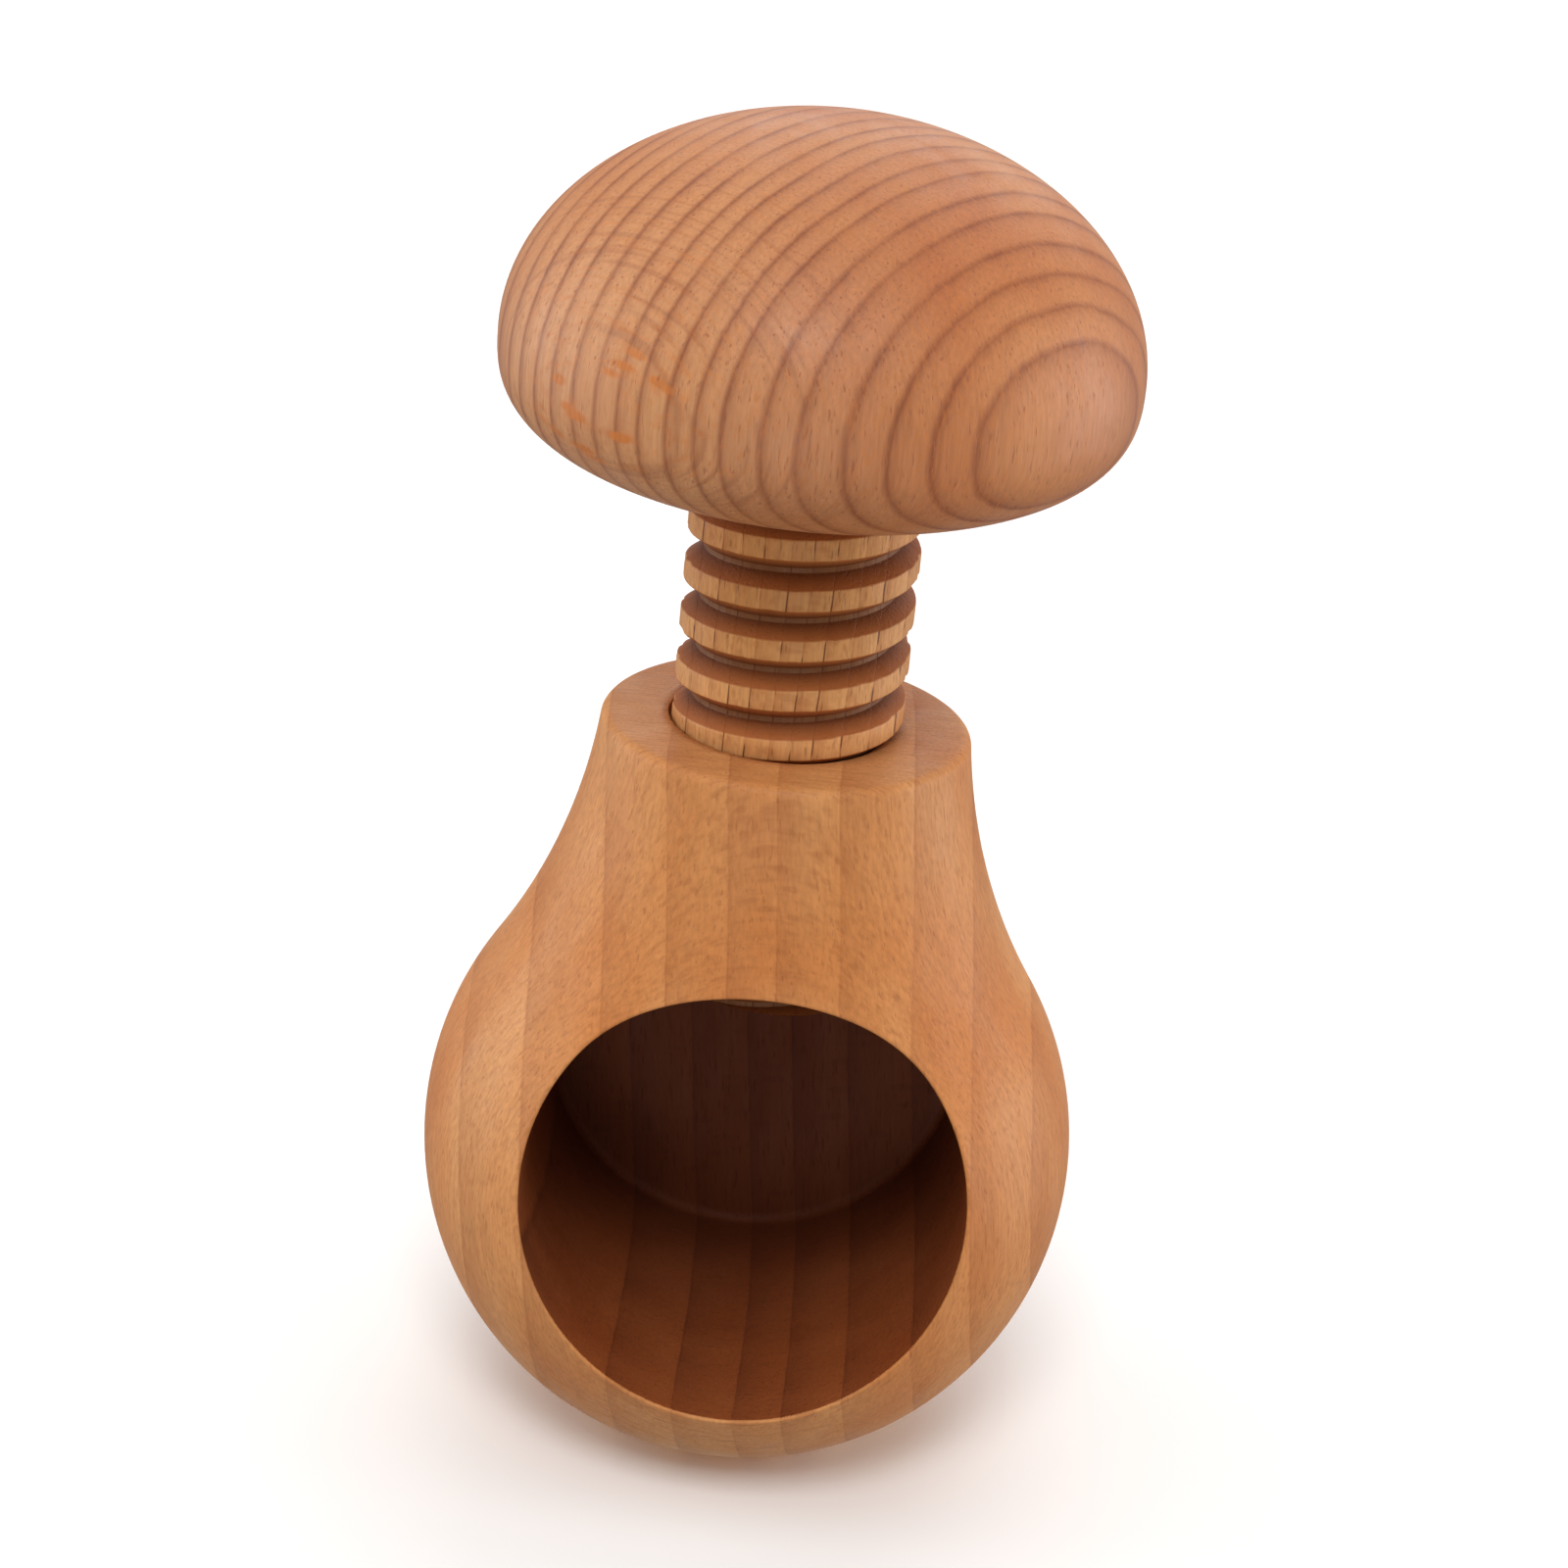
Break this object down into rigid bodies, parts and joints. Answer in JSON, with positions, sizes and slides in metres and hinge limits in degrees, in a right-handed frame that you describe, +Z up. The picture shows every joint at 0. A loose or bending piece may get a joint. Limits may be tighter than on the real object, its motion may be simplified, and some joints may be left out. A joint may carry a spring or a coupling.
{
  "type": "wooden screw nutcracker",
  "caption": "Turned wooden screw nutcracker: a ball-shaped block with a nut hole in its front, a threaded wooden spindle through its neck and a mushroom cap to turn it by.",
  "frame": {"origin": "middle of the flat foot, on the spindle's axis", "axes": "+Z up along the spindle, -Y out of the nut hole's mouth, +X to the right seen from the front"},
  "size_m": [0.064, 0.0617, 0.1312],
  "materials": {
    "block_beech": "fine sanded, clear satin oil",
    "spindle_beech": "cut thread, left fine sanded",
    "cap_beech": "fine sanded, clear satin oil",
    "dried_wood_glue": "dried wood glue, translucent yellow-white"
  },
  "bodies": {
    "block": {"body_block": "block_beech"},
    "glue": {"glue_pad": "dried_wood_glue"},
    "screw": {"screw_spindle": "spindle_beech", "mushroom_cap": "cap_beech"}
  },
  "joints": [
    {"name": "screw_travel", "type": "slide", "parent": "block", "child": "glue", "axis": [0, 0, 1], "range_m": [-0.02353, 0.01471]},
    {"name": "screw_turn", "type": "hinge", "parent": "glue", "child": "screw", "pos_m": [0, 0, 0.07327], "axis": [0, 0, 1], "range_deg": [-1728, 1080]}
  ],
  "couplings": [
    {"joint": "screw_travel", "follows": "screw_turn", "m_per_rad": 0.00077986}
  ]
}
